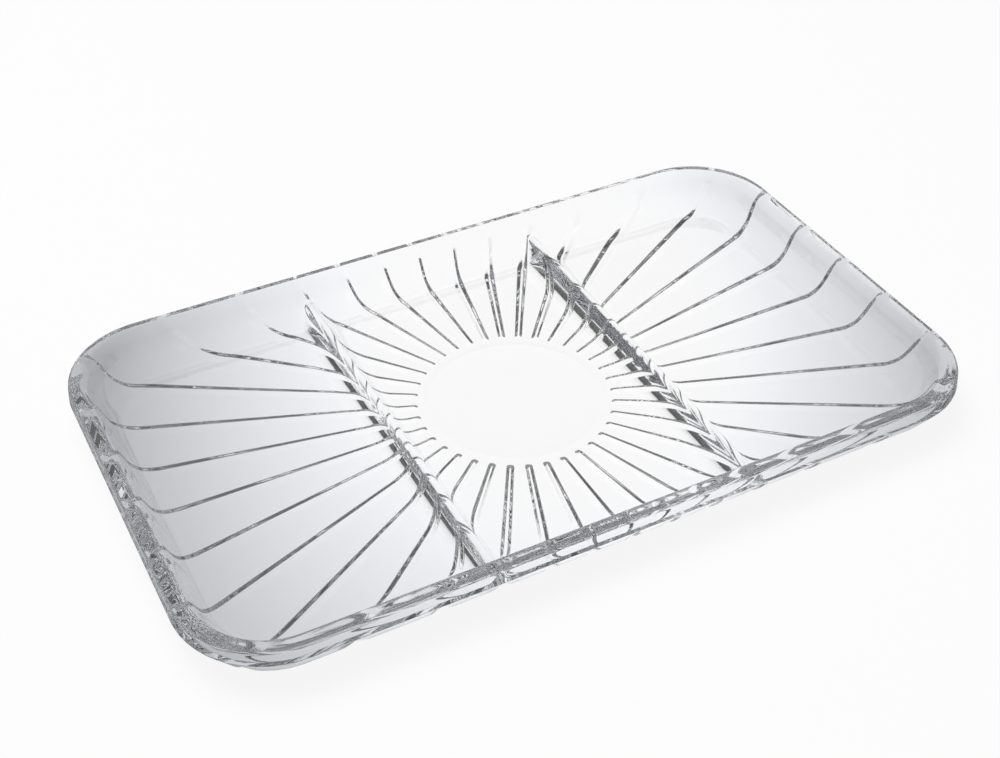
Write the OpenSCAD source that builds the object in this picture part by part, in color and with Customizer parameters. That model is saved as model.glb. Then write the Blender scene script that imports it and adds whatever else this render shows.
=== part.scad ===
// Pressed-glass relish tray: a flared rectangular dish with two divider ribs and a sunburst of grooves underneath.
// Origin on the table, under the middle of the tray. X runs along the length, Y from front to back, Z up.
// The glass is one pressing. It is drawn here in the pieces that its mould forms: base plate, walls, corners, rim, ribs.

/* [Tray] */
// Length over the rim
tray_len = 340; // [280:1:420]
// Width over the rim
tray_wid = 204; // [170:1:260]
// Height from the table to the top of the rim
tray_h = 21.6; // [20:0.1:32]
// Corner radius of the rim's outer edge, seen from above
corner_r = 38; // [32:0.5:60]

/* [Walls] */
// Lean of the walls' outer face, in degrees from upright
wall_lean = 34; // [28:0.5:38]
// Lean of their inner face, in degrees from upright
wall_in_lean = 22; // [16:0.5:27]
// Outer radius where the walls turn into the base
bend_r = 13.5; // [8:0.1:15]
// Inner radius of the same turn
bend_in_r = 14; // [6:0.1:15]

/* [Rim] */
// Width of the flat top of the rim
rim_w = 7.8; // [6.5:0.1:9]
// Height of the rim's outer band
rim_h = 6; // [4:0.1:7.5]
// Radius of the rim's outer top edge
rim_edge_r = 1.2; // [0.4:0.1:2]
// Radius of the rim's inner top edge
rim_in_r = 5; // [1:0.1:5.5]

/* [Base] */
// Thickness of the base plate
base_t = 5; // [3.5:0.1:6]
// Radius of the ring that the mould's valve leaves under the plain disc
valve_r = 37; // [25:0.5:38]
// Width of that ring
valve_w = 0.8; // [0.4:0.1:1.5]
// Depth of that ring
valve_d = 0.25; // [0.1:0.05:0.5]

/* [Sunburst] */
// Number of grooves round the sunburst
ray_count = 36; // [12:4:48]
// Distance from the middle to the inner ends of the grooves
ray_start = 40.7; // [39:0.1:48]
// Width of a groove
ray_w = 2.2; // [0.8:0.1:3]
// Depth of a groove
ray_d = 1; // [0.5:0.1:1.6]
// Plain height left between the groove tops and the rim's band
ray_top_gap = 1.3; // [0.5:0.1:4]
// Height over which a groove fades out at its top
ray_fade = 1.5; // [1:0.1:4]

/* [Dividers] */
// Distance from the middle of the tray to the middle of each rib
rib_x = 56.5; // [52:0.5:75]
// Height of the ribs above the base plate
rib_h = 8.5; // [7.5:0.1:11]
// Radius of the ribs' rounded crest
rib_crest_r = 2; // [1.2:0.1:3.4]
// Lean of the ribs' flanks, in degrees from upright
rib_lean = 15; // [10:1:35]
// Radius of the hollow curve at the foot of a rib
rib_foot_r = 8; // [2:0.1:9]
// Thickness at which that curve ends on the base plate
rib_foot_edge = 0.15; // [0.05:0.05:0.4]

/* [Hidden] */
$fn = 96;

// Clear pressed glass with a slightly cool tint
glass = [0.86, 0.9, 0.9];
glass_thick = [0.74, 0.79, 0.8];
// Overrun of every cutting shape
over = 1;

half_len = tray_len / 2;
half_wid = tray_wid / 2;
// How far a flat face lies inside a round that it runs out of, so that the two cross along one clean line
clear = 0.001;
// Flat width that the walls' pieces take from the base, inside the bend
land = 1;
// Height of the seam between the walls and the rim's band
band_z = tray_h - rim_h;
// How far in from the rim's edge the wall's outer face would meet the table, and its inner face the base's top
foot_s = band_z * tan(wall_lean);
foot_in_s = rim_w + (tray_h - base_t) * tan(wall_in_lean);
// Directions up the slant of the wall's outer face, and square to it towards the outside
up = [sin(wall_lean), cos(wall_lean)];
side = [cos(wall_lean), -sin(wall_lean)];
// The same for its inner face
up_in = [sin(wall_in_lean), cos(wall_in_lean)];
side_in = [cos(wall_in_lean), -sin(wall_in_lean)];
// Seen in section, with X as the distance from a corner's centre: centres of the outer and inner turns
turn_c = [corner_r - foot_s - bend_r * tan((90 - wall_lean) / 2), bend_r];
turn_in_c = [corner_r - foot_in_s - bend_in_r * tan((90 - wall_in_lean) / 2), base_t + bend_in_r];
// Distance from a corner's centre to the seam between base and walls
seam_x = min(turn_c[0], turn_in_c[0]) - land;
seam_s = corner_r - seam_x;

// Distance from a corner's centre to the wall's inner face at the height z
function in_face_x(z) =
    let(from = turn_in_c + (bend_in_r - clear) * side_in)
    from[0] + (z - from[1]) * tan(wall_in_lean);

// Lengths of the straight walls between the corners
straight_len = tray_len - 2 * corner_r;
straight_wid = tray_wid - 2 * corner_r;
// Angle between two grooves
ray_step = 360 / ray_count;
// Seen from above, the grooves whose directions lie between lo and hi, with one more on each side
module rays(lo, hi) {
    for (i = [0:ray_count - 1]) {
        a = i * ray_step;
        // The same direction, turned to within half a turn of the middle of the span
        near = a - 360 * round((a - (lo + hi) / 2) / 360);
        if (near > lo - ray_step / 2 && near < hi + ray_step / 2)
            rotate(a)
                translate([ray_start, -ray_w / 2])
                    square([tray_len, ray_w]);
    }
}

// The same as upright slabs, from below the table to above the walls
module upright_rays(lo, hi) {
    translate([0, 0, -2 * over])
        linear_extrude(tray_h + 2 * over)
            rays(lo, hi);
}

// Everything inside the tray's outer surface, set in by the depth deep, in section
module outer_region(deep) {
    start = turn_c + (bend_r - deep - clear) * side;
    polygon([
        [0, deep],
        [turn_c[0], deep],
        turn_c,
        start,
        start + up * (tray_h - start[1]) / up[1],
        [0, tray_h]
    ]);
    translate(turn_c)
        circle(bend_r - deep);
}

// The room inside the tray above the base, in section, reaching inwards as far as left
module hollow_region(left) {
    start = turn_in_c + (bend_in_r - clear) * side_in;
    high = tray_h + over;
    polygon([
        [left, base_t],
        [turn_in_c[0], base_t],
        turn_in_c,
        start,
        start + up_in * (high - start[1]) / up_in[1],
        [left, high]
    ]);
    translate(turn_in_c)
        circle(bend_in_r);
}

// Section of a wall from the base plate's edge to the rim's band
module wall_section() {
    intersection() {
        difference() {
            outer_region(0);
            hollow_region(0);
        }
        translate([seam_x, 0])
            square([corner_r, band_z]);
    }
}

// Section of what the grooves take off the outside of a wall, slanted where they fade out under the rim's band
module ray_section() {
    face = turn_c + bend_r * side;
    top = face + up * (band_z - ray_top_gap - face[1]) / up[1];
    fade = -ray_d * side - ray_fade * up;
    high = top - fade * 2 * over / ray_d;
    low = top + fade * (1 + over / ray_d);
    intersection() {
        difference() {
            outer_region(-over);
            outer_region(ray_d);
        }
        polygon([[seam_x - over, -2 * over], [high[0], -2 * over], high, low, [seam_x - over, low[1]]]);
    }
}

// Section of the rim: a band with a flat top, rounded at both top edges, with the larger round on the inside
module rim_section() {
    // Centres of the outer and inner rounding
    top_z = tray_h - rim_edge_r;
    out_x = corner_r - rim_edge_r;
    in_z = tray_h - rim_in_r;
    in_x = in_face_x(in_z) + (rim_in_r - clear) / cos(wall_in_lean);
    // Height above which the inner rounding is drawn
    low_z = max(in_z, band_z);
    translate([out_x, top_z])
        circle(rim_edge_r);
    intersection() {
        translate([in_x, in_z])
            circle(rim_in_r);
        translate([in_x - rim_in_r - over, low_z])
            square([rim_in_r + over + rim_edge_r, rim_in_r + over]);
    }
    polygon([
        [in_face_x(band_z), band_z],
        [corner_r, band_z],
        [corner_r, top_z],
        [out_x, top_z],
        [out_x, tray_h],
        [in_x, tray_h],
        [in_x, low_z],
        [in_x, in_z] - (rim_in_r - clear) * side_in
    ]);
}

// A section run straight along one side, longer by extra at each end: 0 right, 1 back, 2 left, 3 front
module side_run(index, extra = 0) {
    run = index % 2 == 0 ? straight_wid : straight_len;
    far = (index % 2 == 0 ? half_len : half_wid) - corner_r;
    rotate([0, 0, 90 * index])
        translate([far, 0, 0])
            rotate([90, 0, 0])
                linear_extrude(run + 2 * extra, center = true)
                    children();
}

// A section turned round one corner, further by extra degrees at each end: 0 back right, then as the sides go round
module corner_turn(index, extra = 0) {
    sx = index == 0 || index == 3 ? 1 : -1;
    sy = index < 2 ? 1 : -1;
    translate([sx * (half_len - corner_r), sy * (half_wid - corner_r), 0])
        rotate([0, 0, 90 * index - extra])
            rotate_extrude(angle = 90 + 2 * extra)
                children();
}

// Direction from the middle of the tray to the end of the right wall, and to the end of the back wall
wall_end_a = atan2(half_wid - corner_r, half_len);
back_end_a = atan2(half_wid, half_len - corner_r);

module wall(index) {
    across = index % 2 == 0 ? wall_end_a : 90 - back_end_a;
    color(glass)
        difference() {
            side_run(index)
                wall_section();
            intersection() {
                side_run(index, over)
                    ray_section();
                upright_rays(90 * index - across, 90 * index + across);
            }
        }
}

module corner(index) {
    // The spans of the corners, seen from the middle of the tray
    spans = [
        [wall_end_a, back_end_a],
        [180 - back_end_a, 180 - wall_end_a],
        [180 + wall_end_a, 180 + back_end_a],
        [360 - back_end_a, 360 - wall_end_a]
    ];
    color(glass)
        difference() {
            corner_turn(index)
                wall_section();
            intersection() {
                corner_turn(index, over)
                    ray_section();
                upright_rays(spans[index][0], spans[index][1]);
            }
        }
}

module base_plate() {
    plate_r = seam_x;
    plate_len = tray_len - 2 * seam_s;
    plate_wid = tray_wid - 2 * seam_s;
    color(glass)
        difference() {
            union() {
                translate([-plate_len / 2, plate_r - plate_wid / 2, 0])
                    cube([plate_len, plate_wid - 2 * plate_r, base_t]);
                translate([plate_r - plate_len / 2, -plate_wid / 2, 0])
                    cube([plate_len - 2 * plate_r, plate_wid, base_t]);
                for (sx = [-1, 1], sy = [-1, 1])
                    translate([sx * (plate_len / 2 - plate_r), sy * (plate_wid / 2 - plate_r), 0])
                        cylinder(h = base_t, r = plate_r);
            }
            translate([0, 0, -over])
                linear_extrude(ray_d + over)
                    rays(0, 360);
            rotate_extrude()
                translate([valve_r, 0])
                    polygon([[-valve_w, -valve_d], [0, valve_d], [valve_w, -valve_d]]);
        }
}

module wall_front() {
    wall(3);
}

module wall_back() {
    wall(1);
}

module wall_left() {
    wall(2);
}

module wall_right() {
    wall(0);
}

module corner_front_left() {
    corner(2);
}

module corner_front_right() {
    corner(3);
}

module corner_back_left() {
    corner(1);
}

module corner_back_right() {
    corner(0);
}

module rim_band() {
    color(glass_thick)
        for (i = [0:3]) {
            side_run(i)
                rim_section();
            corner_turn(i)
                rim_section();
        }
}

// Section of a rib, standing on the base plate, with X across it and Y up
module rib_section() {
    crest_y = rib_h - rib_crest_r;
    // Direction square to the flank, and where the flank's line meets the base plate
    square_to = [cos(rib_lean), sin(rib_lean)];
    flank_x = (rib_crest_r + crest_y * sin(rib_lean)) / cos(rib_lean);
    foot_x = flank_x + rib_foot_r * tan((90 - rib_lean) / 2);
    // Where the crest turns into the flank, and the flank into the foot's curve
    turn = [0, crest_y] + (rib_crest_r - clear) * square_to;
    leave = [foot_x, rib_foot_r] - (rib_foot_r - clear) * square_to;
    // Outer end of the foot, where it is rib_foot_edge thick
    inner = rib_foot_r - rib_foot_edge;
    end_x = foot_x - sqrt(rib_foot_r * rib_foot_r - inner * inner);
    translate([0, crest_y])
        circle(rib_crest_r);
    difference() {
        polygon([
            [-end_x, 0],
            [end_x, 0],
            [end_x, leave[1]],
            leave,
            turn,
            [-turn[0], turn[1]],
            [-leave[0], leave[1]],
            [-end_x, leave[1]]
        ]);
        for (s = [-1, 1])
            translate([s * foot_x, rib_foot_r])
                circle(rib_foot_r);
    }
}

// A rib runs from the front wall to the back wall and meets both on their inner faces.
module divider(way) {
    color(glass_thick)
        intersection() {
            translate([way * rib_x, 0, base_t])
                rotate([90, 0, 0])
                    linear_extrude(tray_wid, center = true)
                        rib_section();
            side_run(1)
                hollow_region(-tray_wid);
            side_run(3)
                hollow_region(-tray_wid);
        }
}

module divider_left() {
    divider(-1);
}

module divider_right() {
    divider(1);
}

base_plate();
wall_front();
wall_back();
wall_left();
wall_right();
corner_front_left();
corner_front_right();
corner_back_left();
corner_back_right();
rim_band();
divider_left();
divider_right();
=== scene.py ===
# Pressed-glass relish tray on a pale table.
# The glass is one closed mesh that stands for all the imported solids.
import math

import bmesh
import bpy
from mathutils import Matrix, Vector


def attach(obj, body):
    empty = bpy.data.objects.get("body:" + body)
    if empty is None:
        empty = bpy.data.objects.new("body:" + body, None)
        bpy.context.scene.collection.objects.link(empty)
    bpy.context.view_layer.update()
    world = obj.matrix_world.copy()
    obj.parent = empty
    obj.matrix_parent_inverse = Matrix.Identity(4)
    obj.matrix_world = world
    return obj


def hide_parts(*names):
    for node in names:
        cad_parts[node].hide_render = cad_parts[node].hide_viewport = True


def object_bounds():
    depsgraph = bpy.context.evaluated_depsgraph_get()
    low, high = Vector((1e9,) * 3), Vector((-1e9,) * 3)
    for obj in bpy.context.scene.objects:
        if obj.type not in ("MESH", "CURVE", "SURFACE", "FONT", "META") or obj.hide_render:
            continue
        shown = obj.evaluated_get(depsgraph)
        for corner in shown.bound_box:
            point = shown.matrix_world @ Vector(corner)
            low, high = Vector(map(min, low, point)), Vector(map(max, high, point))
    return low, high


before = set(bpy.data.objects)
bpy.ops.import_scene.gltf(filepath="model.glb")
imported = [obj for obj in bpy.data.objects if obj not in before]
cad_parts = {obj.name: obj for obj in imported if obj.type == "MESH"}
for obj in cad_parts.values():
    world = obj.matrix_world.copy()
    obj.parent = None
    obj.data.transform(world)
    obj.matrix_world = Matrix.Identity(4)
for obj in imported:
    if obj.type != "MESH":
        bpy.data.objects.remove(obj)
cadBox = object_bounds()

mm = 0.001
tiny = 1e-9
white = (1, 1, 1)

# What a user would change on the tray, in millimetres and degrees
tray = {
    "cornerRadius": 38.0,   # of the rim's outer edge, seen from above
    "base": 5.0,            # thickness of the base
    "outerLean": 34.0,      # of the walls' outer face, from upright
    "innerLean": 22.0,
    "outerBend": 13.5,      # radius where the walls turn into the base
    "innerBend": 14.0,
    "rimWidth": 7.8,
    "rimHeight": 6.0,
    "rimDraft": 0.5,        # how far the rim's outer face leans in over its height
    "outerRound": 1.2,      # rounding of the rim's top edges
    "innerRound": 5.0,
    "lowerRound": 0.6,      # rounding where the rim's outer face meets the wall
    "bendSteps": 12,
    "roundSteps": 9,
    "lowerSteps": 4,
    "wallSteps": 12,
    "cornerSteps": 7,       # lines in each half of a corner of the inside
    "sideSteps": 5,         # lines in each half of its straight ends
    "plainLines": (12, 24, 36, 80, 98, 116),   # places of its other lines, beside the ribs' own
    "support": 0.35,        # distance of the rows that keep flat faces flat beside a round
    "lip": 0.1,             # flat strip of the rim's top beside each rounding
    "merge": 0.0005,        # points closer than this become one
    "sliver": 0.0002,       # edges shorter than this are dissolved
}

grooves = {
    "count": 36,
    "start": 40.7,          # distance of their inner ends from the middle
    "startWidth": 3.4,
    "fullWidth": 6.4,
    "widening": 90.0,       # length over which they get wider
    "flat": 0.05,           # share of the width that is the flat bottom
    "depth": 1.5,
    "soft": 0.05,           # softness of the edges, as a share of a flank
    "topGap": 1.3,          # plain height left under the rim
    "fade": 0.9,            # height over which a groove fades out there
    # Lines on each side of a groove's middle, in half widths, and between two grooves, as shares of the way
    "across": (0.12, 0.3, 0.52, 0.76, 1.0, 1.16, 1.36, 1.7),
    "between": (0.2, 0.4, 0.6, 0.8),
    # Rows at a groove's inner end: distance from its start and share of its depth there
    "ends": ((-0.3, 0.0), (0.0, 0.0), (0.5, 0.15), (1.0, 0.45), (1.6, 0.75), (2.2, 0.93), (3.0, 1.0)),
    "up": (0.2, 0.4, 0.55, 0.7, 0.8, 0.9),   # rows up the wall, as shares of the way
}

# Faint ring that the mould's valve leaves under the plain disc
valve = {"radius": 37.0, "width": 0.8, "depth": 0.07, "flat": 0.4}

ribs = {
    "x": 56.5,              # distance of each rib from the middle of the tray
    "height": 8.5,
    "crestRadius": 2.0,
    "lean": 15.0,
    "footRadius": 8.0,
    "blend": 1.6,           # softness where a rib meets the walls
    "blendRise": 2.0,       # height above the base over which that softness comes in
    "crestSteps": 6,
    "footSteps": 10,
}

glass = {
    "colour": (1.0, 1.0, 1.0),
    "ior": 1.52,
    "depthColour": (0.85, 0.863, 0.885),   # what is left of white after a way through the glass
    "depthDensity": 10.0,
    "waveSize": 11.0,       # millimetres across the soft waves that pressing leaves in the surface
    "waveHeight": 0.02,
    "waveDetail": 1.0,
    "haze": 0.015,          # most roughness
    "hazeSize": 30.0,
    "hazeDetail": 3.0,
    "hazeFrom": 0.5,        # values of the noise at which the haze starts and is full
    "hazeTo": 0.8,
}

# Seen through the glass, the table glows with a painted pool of light round lightX, lightY that falls off
# to painted shade, standing for the tray's shadow, under the tray's ends and beyond
table = {
    "half": 3.0,            # half its size, in metres
    "drop": 0.0002,         # how far it lies under the tray, so that their faces don't meet
    "colour": (0.95, 0.95, 0.95),
    "glow": 0.9,            # share of plain white in what the camera sees of it
    "edgeGrey": 0.41,       # painted shade under the tray's far ends, where the painted light falls off
    "farGrey": 0.1,         # painted shade well outside the tray
    "coolTint": (0.95, 0.963, 1.0),   # of the painted shade that the painted light falls off to
    "lightX": 0.039,        # middle of the painted pool of light, in metres
    "lightY": 0.052,
    "turn": -24.4,          # the painted pool of light is longer across this direction, in degrees
    "squash": 0.62,         # how much
    "lit": 0.087,           # distance at which the painted light starts to fall off
    "dim": 0.197,           # distance at which it has the edge grey
    "far": 0.45,            # distance at which it has the far grey
    "fallPower": 1.27,      # over 1, it falls off slowly at first
    "tintFrom": 0.07,       # distances over which the tint comes in
    "tintTo": 0.115,
}

studio = {
    "room": 0.06,           # brightness of the room that is seen through the glass
    "lampPower": 24.0,
    "lampSize": 1.2,
    "lampPlace": (-0.3, 0.35, 1.5),
    "bounces": 32,          # light needs many to leave the ribs and the rim
}

view = {
    "azimuth": -27.187,
    "elevation": 39.664,
    "roll": -0.251,
    "distance": 0.65805,
    "target": (0.000262, 0.013926, 0.0033),
    "focal": 1.5339,        # in picture widths
    "sensor": 36,           # its width, in millimetres
    "near": 0.01,
}

halfLen = cadBox[1][0] / mm
halfWid = cadBox[1][1] / mm
trayHeight = cadBox[1][2] / mm


def measureSection():
    # Sizes that follow from the tray's; feet and seams are measured inwards from the rim's outer edge
    outer, inner = math.radians(tray["outerLean"]), math.radians(tray["innerLean"])
    bandZ = trayHeight - tray["rimHeight"]
    outerFoot = bandZ * math.tan(outer)
    innerFoot = tray["rimWidth"] + (trayHeight - tray["base"]) * math.tan(inner)
    return {
        "outer": outer, "inner": inner, "bandZ": bandZ, "outerFoot": outerFoot,
        "outerSeam": outerFoot + tray["outerBend"] * math.tan((math.pi / 2 - outer) / 2),
        "innerSeam": innerFoot + tray["innerBend"] * math.tan((math.pi / 2 - inner) / 2),
    }


section = measureSection()


def measureRib():
    # In section: lean of the flanks, height of the middle of the crest's round,
    # and where the flank's line and the foot's round meet the base
    lean = math.radians(ribs["lean"])
    crestY = ribs["height"] - ribs["crestRadius"]
    flankX = (ribs["crestRadius"] + crestY * math.sin(lean)) / math.cos(lean)
    footX = flankX + ribs["footRadius"] * (1 - math.sin(lean)) / math.cos(lean)
    return lean, crestY, flankX, footX


def outlinePoint(angle, aside, inset):
    # Where a line in the direction angle, moved sideways by aside, leaves the outline set in by inset
    dx, dy = math.cos(angle), math.sin(angle)
    px, py = -dy * aside, dx * aside
    hx, hy, radius = halfLen - inset, halfWid - inset, max(tray["cornerRadius"] - inset, 0)
    reach = []
    if abs(dx) > tiny:
        reach.append((math.copysign(hx, dx) - px) / dx)
    if abs(dy) > tiny:
        reach.append((math.copysign(hy, dy) - py) / dy)
    t = min(reach)
    x, y = px + t * dx, py + t * dy
    if abs(x) > hx - radius and abs(y) > hy - radius:
        fx, fy = px - math.copysign(hx - radius, x), py - math.copysign(hy - radius, y)
        half = dx * fx + dy * fy
        t = -half + math.sqrt(max(half * half - fx * fx - fy * fy + radius * radius, 0))
        x, y = px + t * dx, py + t * dy
    return x, y


def arcRows(centre, radius, start, end, steps):
    # Points of an arc in the section, with the direction out of its middle at each
    rows = []
    for i in range(steps + 1):
        angle = start + (end - start) * i / steps
        across, up = math.cos(angle), math.sin(angle)
        rows.append((centre[0] + radius * across, centre[1] + radius * up, across, up))
    return rows


def underRows():
    # Section from the base's edge, up the outside and over the rim's outer edge:
    # inset, height and direction out of the glass
    p, s = tray, section
    gap, edge, low = p["support"], p["outerRound"], p["lowerRound"]
    slope = math.tan(s["outer"])
    rows = [(s["outerSeam"] + gap, 0, 0, -1)]
    rows += arcRows((s["outerSeam"], p["outerBend"]), p["outerBend"],
                    -math.pi / 2, s["outer"] - math.pi, p["bendSteps"])
    lowZ = s["bandZ"] + low * math.tan(s["outer"] / 2)
    startZ, grooveTop = rows[-1][1], s["bandZ"] - grooves["topGap"]
    for z in [startZ + gap] + [startZ + (grooveTop - startZ) * share for share in grooves["up"]]:
        rows.append((s["outerFoot"] - z * slope, z, -math.cos(s["outer"]), -math.sin(s["outer"])))
    rows += arcRows((low, lowZ), low, s["outer"] - math.pi, -math.pi, p["lowerSteps"])
    draft, highZ = p["rimDraft"], trayHeight - edge
    for z in (lowZ + gap, highZ - gap):
        rows.append((draft * (z - lowZ) / (highZ - lowZ), z, -1, 0))
    turn = math.pi - math.atan(draft / (highZ - lowZ))
    rows += arcRows((draft + edge, highZ), edge, turn, math.pi / 2, p["roundSteps"])
    rows.append((draft + edge + p["lip"], trayHeight, 0, 1))
    return rows


def innerRows():
    # Section of the inside, from the floor's edge up to the flat top of the rim
    p, s = tray, section
    gap, edge = p["support"], p["innerRound"]
    rows = [(s["innerSeam"] + gap, p["base"])]
    rows += [r[:2] for r in arcRows((s["innerSeam"], p["base"] + p["innerBend"]), p["innerBend"],
                                    -math.pi / 2, s["inner"] - math.pi, p["bendSteps"])]
    startZ = rows[-1][1]
    endX = p["rimWidth"] - edge * (1 - math.sin(s["inner"])) / math.cos(s["inner"])
    endZ = trayHeight - edge + edge * math.sin(s["inner"])
    steps = p["wallSteps"]
    heights = [startZ + (endZ - startZ) * i / steps for i in range(1, steps)]
    for z in [startZ + gap, *heights, endZ - gap]:
        rows.append((p["rimWidth"] + (trayHeight - z) * math.tan(s["inner"]), z))
    rows += [r[:2] for r in arcRows((endX, trayHeight - edge), edge,
                                    s["inner"], math.pi / 2, p["roundSteps"])]
    rows.append((endX - p["lip"], trayHeight))
    return rows


def grooveDepth(aside):
    # A blunted V with softened edges; aside is in half widths
    soft = grooves["soft"]
    t = (1 - abs(aside)) / (1 - grooves["flat"])
    if t < -soft:
        share = 0
    elif t < soft:
        share = (t + soft) ** 2 / (4 * soft)
    elif t < 1 - soft:
        share = t
    elif t < 1 + soft:
        share = 1 - (1 + soft - t) ** 2 / (4 * soft)
    else:
        share = 1
    return grooves["depth"] * share


def grooveHalf(reach):
    # Half the width of a groove at a distance from the middle
    share = min(max((reach - grooves["start"]) / grooves["widening"], 0), 1)
    return (grooves["startWidth"] + (grooves["fullWidth"] - grooves["startWidth"]) * share) / 2


def ribHeight(x):
    # Height of the ribs above the base at a place along the tray
    lean, crestY, flankX, footX = measureRib()
    crest, foot = ribs["crestRadius"], ribs["footRadius"]
    d = abs(abs(x) - ribs["x"])
    if d >= footX:
        return None
    if d <= crest * math.cos(lean):
        return crestY + math.sqrt(crest ** 2 - d ** 2)
    if d <= footX - foot * math.cos(lean):
        return (flankX - d) / math.tan(lean)
    return foot - math.sqrt(foot ** 2 - (footX - d) ** 2)


def ribLines():
    # Distances from a rib's middle at which the inside has a line
    lean, crestY, flankX, footX = measureRib()
    crest, foot = ribs["crestRadius"], ribs["footRadius"]
    full = math.pi / 2 - lean
    crestSteps, footSteps = ribs["crestSteps"], ribs["footSteps"]
    lines = [crest * math.sin(full * i / crestSteps) for i in range(crestSteps + 1)]
    lines.append((lines[-1] + footX - foot * math.cos(lean)) / 2)
    lines += [footX - foot * math.sin(full * i / footSteps) for i in range(footSteps, -1, -1)]
    lines.append(footX + tray["support"])
    return lines


def placedGrid(bm, across, along, where):
    # A grid whose vertices go where the function puts them, by their numbers across and along
    for v in bmesh.ops.create_grid(bm, x_segments=across, y_segments=along, size=1)["verts"]:
        i = round((v.co.x + 1) / 2 * across)
        j = round((v.co.y + 1) / 2 * along)
        v.co = Vector(where(i, j)) * mm


def addUnderside(bm):
    # The rings run from the middle of the base outwards; the lines follow the grooves
    p = grooves
    step = 2 * math.pi / p["count"]
    asides = sorted(side * a for side in (-1, 1) for a in p["across"])
    lines = []
    for k in range(p["count"]):
        lines += [(k * step, a, 0) for a in asides]
        lines += [(k * step, asides[-1], share) for share in p["between"]]

    ring, width, flat = valve["radius"], valve["width"], valve["width"] * valve["flat"]
    circles = [(0, 0), (ring / 2, 0), (ring - width, 0), (ring - flat, valve["depth"]),
               (ring + flat, valve["depth"]), (ring + width, 0)]
    rows = underRows()
    grooveTop = section["bandZ"] - p["topGap"]

    def onCircle(line, radius):
        angle, aside, share = line
        small = math.asin(aside * grooveHalf(radius) / max(radius, p["start"]))
        place = angle + small + (step - 2 * small) * share
        return radius * math.cos(place), radius * math.sin(place)

    def onOutline(line, inset):
        angle, aside, share = line
        one = aside * grooveHalf(math.hypot(*outlinePoint(angle, 0, inset)))
        if not share:
            return outlinePoint(angle, one, inset)
        two = aside * grooveHalf(math.hypot(*outlinePoint(angle + step, 0, inset)))
        x1, y1 = outlinePoint(angle, one, inset)
        x2, y2 = outlinePoint(angle + step, -two, inset)
        a1, a2 = math.atan2(y1, x1), math.atan2(y2, x2)
        return outlinePoint(a1 + (a2 - a1) % (2 * math.pi) * share, 0, inset)

    def where(i, j):
        line = lines[i % len(lines)]
        if j < len(circles):
            radius, deep = circles[j]
            return *onCircle(line, radius), deep
        deep = 0 if line[2] else grooveDepth(line[1])
        j -= len(circles)
        if j < len(p["ends"]):
            out, share = p["ends"][j]
            return *onCircle(line, p["start"] + out), deep * share
        inset, z, nx, nz = rows[j - len(p["ends"])]
        deep *= min(max((grooveTop - z) / p["fade"], 0), 1)
        x, y = onOutline(line, inset - nx * deep)
        return x, y, z - nz * deep

    placedGrid(bm, len(lines), len(circles) + len(p["ends"]) + len(rows) - 1, where)


def addInside(bm):
    # A floor whose lines follow the ribs, and walls that rise from its edge
    rows = innerRows()
    floorInset = rows[0][0]
    radius = tray["cornerRadius"] - floorInset
    straightX, straightY = halfLen - tray["cornerRadius"], halfWid - tray["cornerRadius"]
    steps = tray["cornerSteps"]
    ribX = [ribs["x"] + side * d for side in (-1, 1) for d in ribLines()]
    positive = sorted(set(round(x, 4) for x in [*tray["plainLines"], straightX, *ribX]))
    xs = [(-x, 0) for x in reversed(positive)] + [(0, 0)] + [(x, 0) for x in positive]
    sides = tray["sideSteps"]
    ys = [(straightY * i / sides, 0) for i in range(-sides, sides + 1)]
    corner = [(0, i / steps) for i in range(1, steps + 1)]
    xs = [(-straightX, -u) for _, u in reversed(corner)] + xs + [(straightX, u) for _, u in corner]
    ys = [(-straightY, -u) for _, u in reversed(corner)] + ys + [(straightY, u) for _, u in corner]
    nx, ny = len(xs) - 1, len(ys) - 1

    def planPoint(i, j, grow=0):
        # A point of the floor's plan; on its edge, moved outwards by grow
        (x, u), (y, v) = xs[i], ys[j]
        signX, signY = math.copysign(1, u or x), math.copysign(1, v or y)
        u, v = abs(u), abs(v)
        edgeX, edgeY = i in (0, nx), j in (0, ny)
        if u and v:
            phi = math.pi / 4 * (v / u if u >= v else 2 - u / v)
            far = max(u, v) * radius + (grow if edgeX or edgeY else 0)
            return x + signX * far * math.cos(phi), y + signY * far * math.sin(phi)
        return (x + signX * (u * radius + (grow if edgeX else 0)),
                y + signY * (v * radius + (grow if edgeY else 0)))

    def inside(x, y, z):
        # The surface of the floor or the wall, or of a rib where that is higher
        top = ribHeight(x)
        if top is None:
            return x, y, z
        top += tray["base"]
        soft = ribs["blend"] * min(1, (z - tray["base"]) / ribs["blendRise"])
        if soft < tiny:
            return x, y, max(z, top)
        near = max(soft - abs(z - top), 0) / soft
        return x, y, max(z, top) + near * near * soft / 4

    edge = [(i, 0) for i in range(nx)] + [(nx, j) for j in range(ny)]
    edge += [(nx - i, ny) for i in range(nx)] + [(0, ny - j) for j in range(ny)]

    def wallPoint(i, j):
        x, y = planPoint(*edge[i % len(edge)], floorInset - rows[j][0])
        return inside(x, y, rows[j][1])

    placedGrid(bm, nx, ny, lambda i, j: inside(*planPoint(i, j), tray["base"]))
    placedGrid(bm, len(edge), len(rows) - 1, wallPoint)


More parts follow.
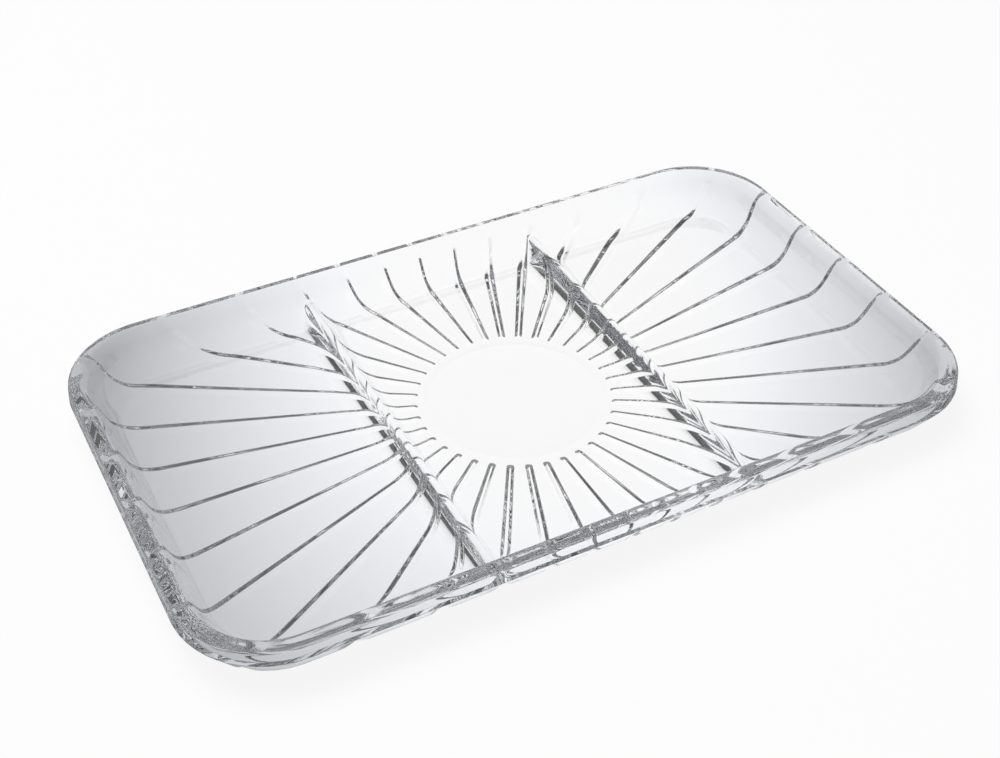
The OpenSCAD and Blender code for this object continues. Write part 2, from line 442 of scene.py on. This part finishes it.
def buildTray():
    bm = bmesh.new()
    addUnderside(bm)
    addInside(bm)
    bmesh.ops.remove_doubles(bm, verts=bm.verts, dist=tray["merge"] * mm)
    bmesh.ops.dissolve_degenerate(bm, edges=bm.edges, dist=tray["sliver"] * mm)
    rimEdges = [e for e in bm.edges if len(e.link_faces) == 1]
    bmesh.ops.triangle_fill(bm, use_beauty=True, use_dissolve=False, edges=rimEdges, normal=(0, 0, 1))
    bmesh.ops.recalc_face_normals(bm, faces=bm.faces)
    openEdges = sum(len(e.link_faces) != 2 for e in bm.edges)
    volume = round(bm.calc_volume() / mm ** 3)
    print("tray built:", len(bm.faces), "faces,", openEdges, "open edges,", volume, "mm3 of glass")
    for f in bm.faces:
        f.smooth = True
    return addObject("tray_glass", bm)


def addObject(name, bm):
    mesh = bpy.data.meshes.new(name)
    bm.to_mesh(mesh)
    bm.free()
    piece = bpy.data.objects.new(name, mesh)
    bpy.context.scene.collection.objects.link(piece)
    return piece


class Wire:
    # A socket or a number in the node tree being built, so that shader maths reads as plain sums
    tree = None

    def __init__(self, value):
        self.value = value.value if isinstance(value, Wire) else value

    def math(self, operation, *others):
        return addNode("Math", {"operation": operation}, dict(enumerate((self, *others))))

    def __add__(self, other):
        return self.math("ADD", other)

    def __sub__(self, other):
        return self.math("SUBTRACT", other)

    def __mul__(self, other):
        return self.math("MULTIPLY", other)

    def __pow__(self, other):
        return self.math("POWER", other)

    def __rsub__(self, other):
        return Wire(other).math("SUBTRACT", self)

    __radd__ = __add__
    __rmul__ = __mul__


def addNode(kind, settings=None, values=None, output=0):
    # Any node: its settings, then the numbers, colours or wires of its sockets; gives one of its outputs
    node = Wire.tree.nodes.new("ShaderNode" + kind)
    for name, value in (settings or {}).items():
        setattr(node, name, value)
    for name, value in (values or {}).items():
        value = Wire(value).value
        if isinstance(value, bpy.types.NodeSocket):
            Wire.tree.links.new(value, node.inputs[name])
        else:
            socket = node.inputs[name]
            socket.default_value = (*value, 1) if socket.type == "RGBA" else value
    return Wire(node.outputs[output])


def mixColours(share, one, two, way="MIX"):
    return addNode("Mix", {"data_type": "RGBA", "blend_type": way}, {0: share, 6: one, 7: two}, 2)


def rampOf(value, low, high):
    return addNode("MapRange", None, {"Value": value, "From Min": low, "From Max": high})


def noiseOf(place, size, detail):
    # Soft noise whose blotches are about as many millimetres wide as size
    return addNode("TexNoise", None, {"Vector": place, "Scale": 1 / (size * mm), "Detail": detail})


def newMaterial(name):
    mat = bpy.data.materials.new(name)
    mat.use_nodes = True
    Wire.tree = mat.node_tree
    return mat, mat.node_tree.nodes


def glassMaterial():
    # Clear soda-lime glass with the soft waves and faint haze of a pressing
    mat, nodes = newMaterial("pressed glass")
    p = glass
    shader = nodes["Principled BSDF"]
    shader.inputs["Base Color"].default_value = (*p["colour"], 1)
    shader.inputs["IOR"].default_value = p["ior"]
    shader.inputs["Transmission Weight"].default_value = 1.0
    place = addNode("TexCoord", output="Object")
    waves = noiseOf(place, p["waveSize"], p["waveDetail"])
    bump = addNode("Bump", None, {"Height": waves, "Distance": p["waveHeight"] * mm, "Strength": 1.0})
    haze = rampOf(noiseOf(place, p["hazeSize"], p["hazeDetail"]), p["hazeFrom"], p["hazeTo"])
    Wire.tree.links.new(bump.value, shader.inputs["Normal"])
    Wire.tree.links.new((haze * p["haze"]).value, shader.inputs["Roughness"])
    depth = addNode("VolumeAbsorption", None, {"Color": p["depthColour"], "Density": p["depthDensity"]})
    Wire.tree.links.new(depth.value, nodes["Material Output"].inputs["Volume"])
    return mat


def addTable():
    bm = bmesh.new()
    bmesh.ops.create_grid(bm, x_segments=1, y_segments=1, size=table["half"])
    bmesh.ops.translate(bm, verts=bm.verts, vec=(0, 0, -table["drop"]))
    floor = addObject("table", bm)
    mat, nodes = newMaterial("pale table")
    nodes.remove(nodes["Principled BSDF"])
    p = table
    x, y, _ = addNode("SeparateXYZ", None, {0: addNode("TexCoord", output="Object")}).value.node.outputs
    dx, dy = Wire(x) - p["lightX"], Wire(y) - p["lightY"]
    along, aside = math.cos(math.radians(p["turn"])), math.sin(math.radians(p["turn"]))
    u, v = dx * along + dy * aside, (dy * along - dx * aside) * p["squash"]
    away = (u * u + v * v) ** 0.5
    fall = rampOf(away, p["lit"], p["dim"]) ** p["fallPower"]
    # Painted light: a glow that is white in the lit place and falls off to painted shade, grey and
    # cool-tinted, under the tray's ends
    under = mixColours(fall, white, [p["edgeGrey"]] * 3)
    under = mixColours(rampOf(away, p["dim"], p["far"]), under, [p["farGrey"]] * 3)
    under = mixColours(rampOf(away, p["tintFrom"], p["tintTo"]), under, p["coolTint"], "MULTIPLY")
    camera = addNode("LightPath", output="Is Camera Ray")
    rays = camera.value.node.outputs
    seen = camera.math("MAXIMUM", rays["Is Transmission Ray"]).math("MAXIMUM", rays["Is Glossy Ray"])
    glow = addNode("Emission", None, {"Color": mixColours(camera, under, white)})
    matt = addNode("BsdfDiffuse", None, {"Color": p["colour"]})
    surface = addNode("MixShader", None, {0: seen - camera * (1 - p["glow"]), 1: matt, 2: glow})
    Wire.tree.links.new(surface.value, nodes["Material Output"].inputs["Surface"])
    floor.data.materials.append(mat)


def addWorld():
    # A dim room round the table; straight on and in reflections it is white like the table
    scene = bpy.context.scene
    scene.world = bpy.data.worlds.new("studio")
    scene.world.use_nodes = True
    tree = Wire.tree = scene.world.node_tree
    camera = addNode("LightPath", output="Is Camera Ray")
    rays = camera.value.node.outputs
    bright = camera.math("MAXIMUM", Wire(rays["Is Reflection Ray"]) * rays["Is Glossy Ray"])
    background = tree.nodes["Background"]
    tree.links.new(bright.math("MAXIMUM", studio["room"]).value, background.inputs["Strength"])
    background.inputs["Color"].default_value = (*white, 1)


def addLamp():
    p = studio
    lamp = bpy.data.lights.new("lamp", "AREA")
    lamp.energy, lamp.size = p["lampPower"], p["lampSize"]
    holder = bpy.data.objects.new("lamp", lamp)
    bpy.context.scene.collection.objects.link(holder)
    holder.location = p["lampPlace"]
    holder.rotation_euler = (-Vector(p["lampPlace"])).to_track_quat("-Z", "Y").to_euler()
    holder.visible_glossy = holder.visible_transmission = False


def addCamera():
    # The photograph's viewpoint: it looks down at the tray from the front left
    azimuth, elevation, roll = (math.radians(view[key]) for key in ("azimuth", "elevation", "roll"))
    flat = math.cos(elevation)
    back = Vector((math.sin(azimuth) * flat, -math.cos(azimuth) * flat, math.sin(elevation)))
    right = (-back).cross(Vector((0, 0, 1))).normalized()
    up = right.cross(-back)
    turned = right * math.cos(roll) + up * math.sin(roll), up * math.cos(roll) - right * math.sin(roll)
    camera = bpy.data.objects.new("camera", bpy.data.cameras.new("camera"))
    bpy.context.scene.collection.objects.link(camera)
    place = Matrix((turned[0], turned[1], back)).transposed().to_4x4()
    place.translation = Vector(view["target"]) + back * view["distance"]
    camera.matrix_world = place
    camera.data.sensor_width = view["sensor"]
    camera.data.lens = view["focal"] * view["sensor"]
    camera.data.clip_start = view["near"]
    bpy.context.scene.camera = camera


print("building the tray")
piece = buildTray()
piece.data.materials.append(glassMaterial())
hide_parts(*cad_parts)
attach(piece, "root")

print("setting up the table, the lights and the camera")
addTable()
addWorld()
addLamp()
addCamera()
scene = bpy.context.scene
scene.view_settings.view_transform = "Standard"
for kind in ("max_bounces", "glossy_bounces", "transmission_bounces"):
    setattr(scene.cycles, kind, studio["bounces"])
